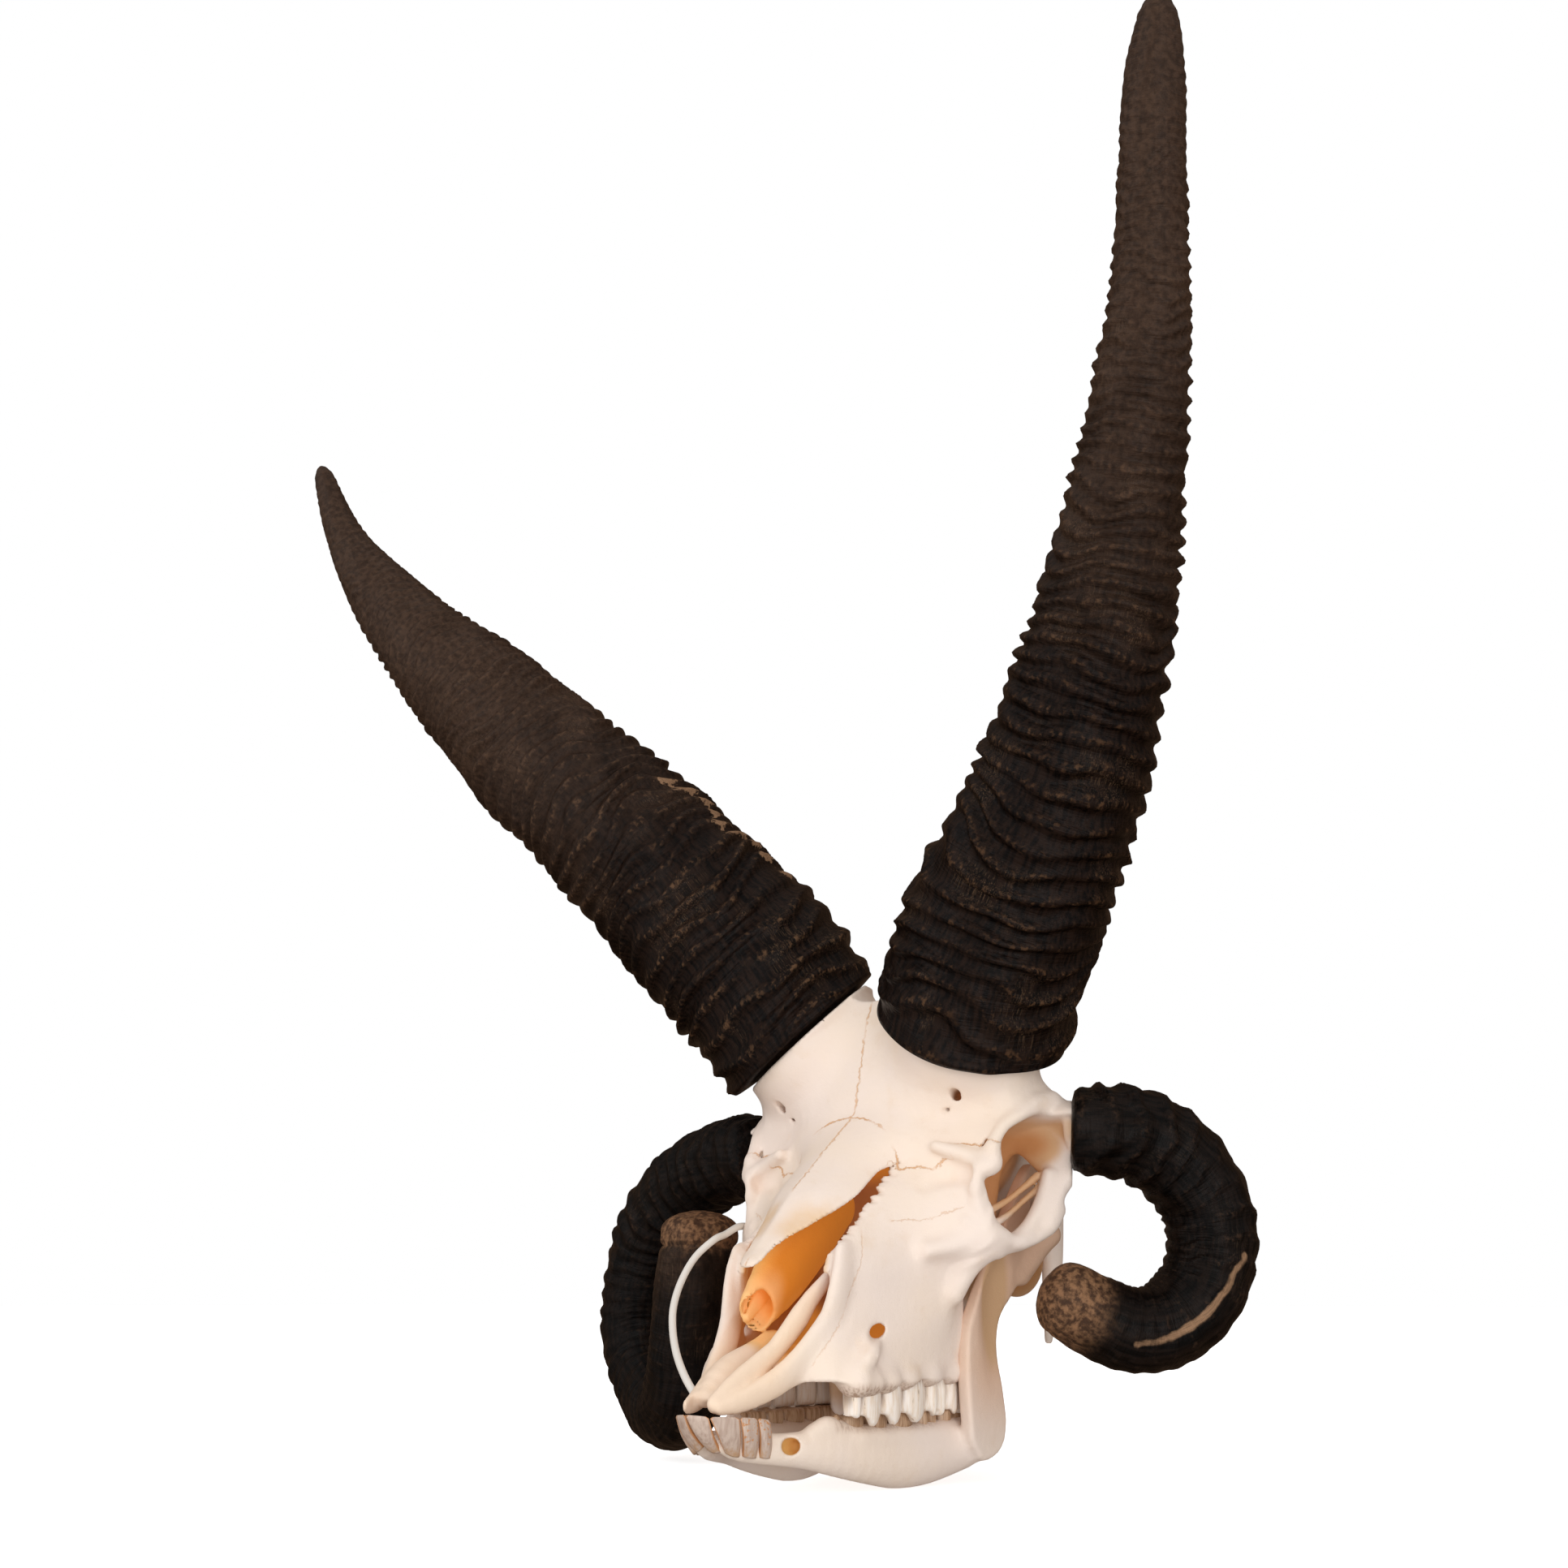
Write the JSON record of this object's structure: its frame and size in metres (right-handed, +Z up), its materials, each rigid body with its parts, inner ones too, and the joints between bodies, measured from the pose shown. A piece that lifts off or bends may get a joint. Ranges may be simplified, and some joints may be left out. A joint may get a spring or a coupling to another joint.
{
  "type": "four-horned sheep skull",
  "caption": "Skull of a four-horned ram with its lower jaw: two tall ringed horns, two curled side horns, open nose and eye sockets; stands on its jaw.",
  "frame": {"origin": "middle of the footprint of the bounding box, on the table under the jaw", "axes": "+Z up along the object's height, the face looks towards -Y, the animal's left is +X"},
  "size_m": [0.4665, 0.2215, 0.5239],
  "materials": {
    "bone": "dry matt bone",
    "horn": "ringed dull horn",
    "enamel": "smooth tooth enamel",
    "coated_wire": "smooth off-white coating"
  },
  "bodies": {
    "root": {"cranium": "bone", "mandible_left": "bone", "mandible_right": "bone", "horn_upper_left": "horn", "horn_upper_right": "horn", "horn_lower_left": "horn", "horn_lower_right": "horn", "upper_tooth_left_1": "enamel", "upper_tooth_left_2": "enamel", "upper_tooth_left_3": "enamel", "upper_tooth_left_4": "enamel", "upper_tooth_left_5": "enamel", "upper_tooth_left_6": "enamel", "upper_tooth_right_1": "enamel", "upper_tooth_right_2": "enamel", "upper_tooth_right_3": "enamel", "upper_tooth_right_4": "enamel", "upper_tooth_right_5": "enamel", "upper_tooth_right_6": "enamel", "lower_tooth_left_1": "enamel", "lower_tooth_left_2": "enamel", "lower_tooth_left_3": "enamel", "lower_tooth_left_4": "enamel", "lower_tooth_left_5": "enamel", "lower_tooth_left_6": "enamel", "lower_tooth_right_1": "enamel", "lower_tooth_right_2": "enamel", "lower_tooth_right_3": "enamel", "lower_tooth_right_4": "enamel", "lower_tooth_right_5": "enamel", "lower_tooth_right_6": "enamel", "incisor_left_1": "enamel", "incisor_left_2": "enamel", "incisor_left_3": "enamel", "incisor_left_4": "enamel", "incisor_right_1": "enamel", "incisor_right_2": "enamel", "incisor_right_3": "enamel", "incisor_right_4": "enamel", "wire": "coated_wire"}
  },
  "joints": []
}
